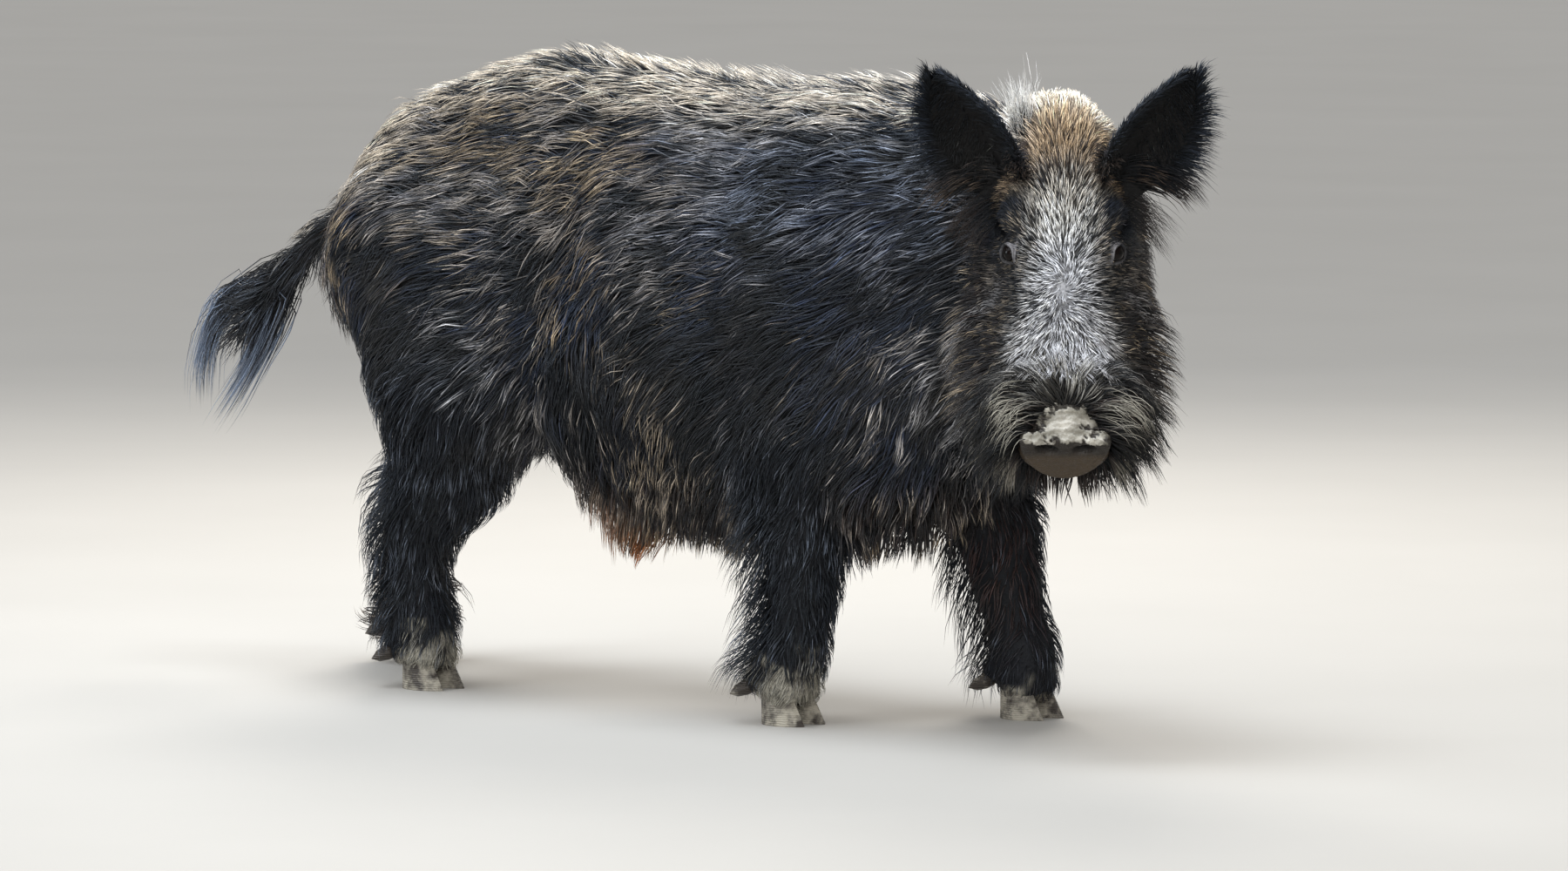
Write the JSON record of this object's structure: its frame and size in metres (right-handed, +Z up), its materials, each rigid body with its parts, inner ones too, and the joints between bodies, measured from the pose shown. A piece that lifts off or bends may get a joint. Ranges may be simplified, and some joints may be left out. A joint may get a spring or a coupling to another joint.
{
  "type": "wild boar",
  "caption": "Wild boar walking slowly in its winter coat, head turned to its right and tail swung out behind; a still, life-size animal for a scene.",
  "frame": {"origin": "on the floor, under the middle of the whole model's bounding box", "axes": "+X forward along the body towards the chest, +Y to the boar's left, +Z up"},
  "size_m": [1.4584, 0.412, 0.7457],
  "materials": {
    "coat": "charcoal guard hair with tan tips",
    "dark_coat": "blue-black long hair",
    "pale_coat": "grizzled grey and brown hair",
    "snout": "bare grey skin with dried mud",
    "hoof": "dark horn, dull, muddy",
    "eye": "wet, dark brown"
  },
  "bodies": {
    "root": {"belly_brush": "pale_coat", "dewclaw_front_left_inner": "hoof", "dewclaw_front_left_outer": "hoof", "dewclaw_front_right_inner": "hoof", "dewclaw_front_right_outer": "hoof", "dewclaw_hind_left_inner": "hoof", "dewclaw_hind_left_outer": "hoof", "dewclaw_hind_right_inner": "hoof", "dewclaw_hind_right_outer": "hoof", "ear_left": "dark_coat", "ear_right": "dark_coat", "eye_left": "eye", "eye_right": "eye", "haunch_left": "coat", "haunch_right": "coat", "head": "coat", "hoof_front_left_inner": "hoof", "hoof_front_left_outer": "hoof", "hoof_front_right_inner": "hoof", "hoof_front_right_outer": "hoof", "hoof_hind_left_inner": "hoof", "hoof_hind_left_outer": "hoof", "hoof_hind_right_inner": "hoof", "hoof_hind_right_outer": "hoof", "lower_jaw": "pale_coat", "lower_leg_front_left": "dark_coat", "lower_leg_front_right": "dark_coat", "lower_leg_hind_left": "dark_coat", "lower_leg_hind_right": "dark_coat", "neck": "coat", "shoulder_left": "coat", "shoulder_right": "coat", "snout_disc": "snout", "tail_dock": "coat", "tail_tuft": "dark_coat", "trunk": "coat"}
  },
  "joints": []
}
